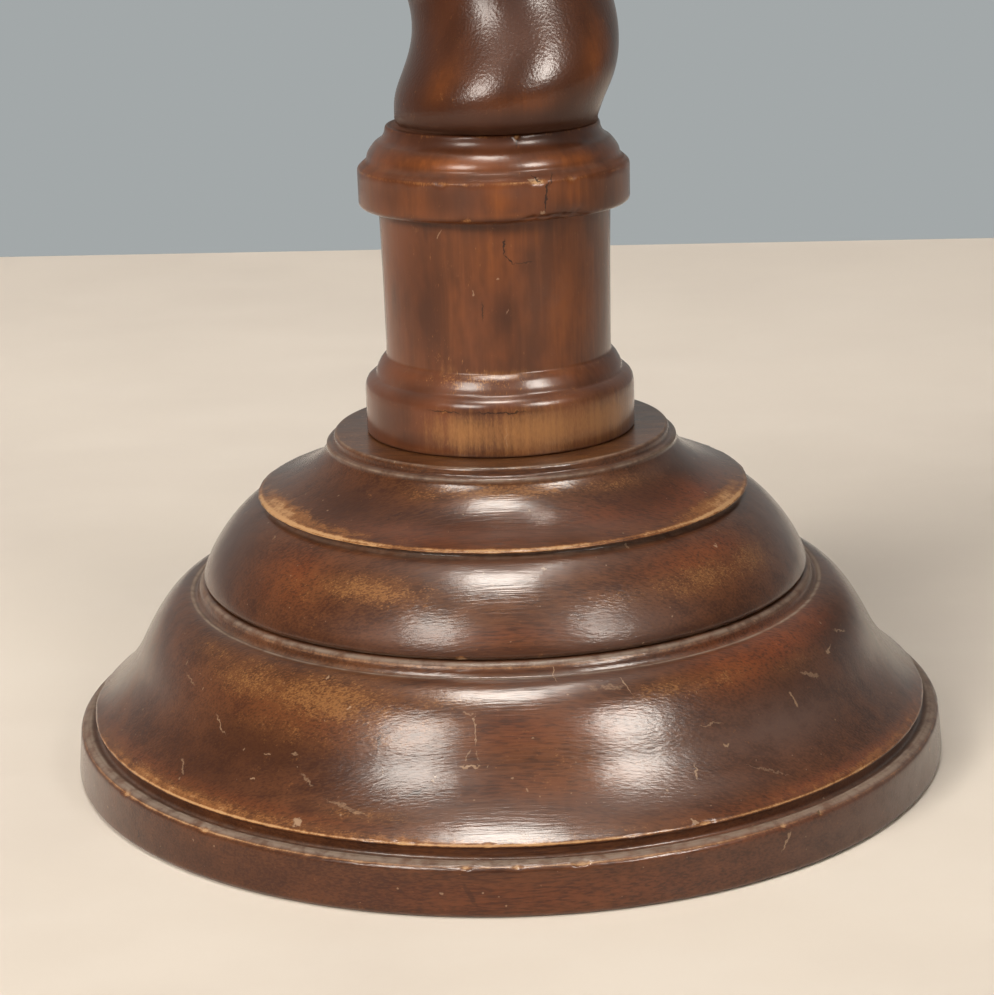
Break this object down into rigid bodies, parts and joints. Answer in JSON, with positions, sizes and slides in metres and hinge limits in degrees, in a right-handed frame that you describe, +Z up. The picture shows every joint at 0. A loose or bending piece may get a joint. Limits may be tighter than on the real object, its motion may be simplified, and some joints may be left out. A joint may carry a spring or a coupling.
{
  "type": "pedestal column",
  "caption": "Turned wooden pedestal with two stacked moulded base discs, a plain drum and collar, a single-start twisted shaft and a round top plate.",
  "frame": {"origin": "centre of the underside of the lower base disc", "axes": "+Z up along the column's axis; the pictured side faces -Y"},
  "size_m": [0.38, 0.38, 1.0403],
  "materials": {
    "base_wood": "dark red-brown stain under worn wax, tan where rubbed, satin gloss",
    "column_wood": "red-brown stain under wax with orange figure and vertical streaks, satin gloss"
  },
  "bodies": {
    "root": {"base_disc_lower": "base_wood", "base_disc_upper": "base_wood", "column": "column_wood", "top_plate": "base_wood"}
  },
  "joints": []
}
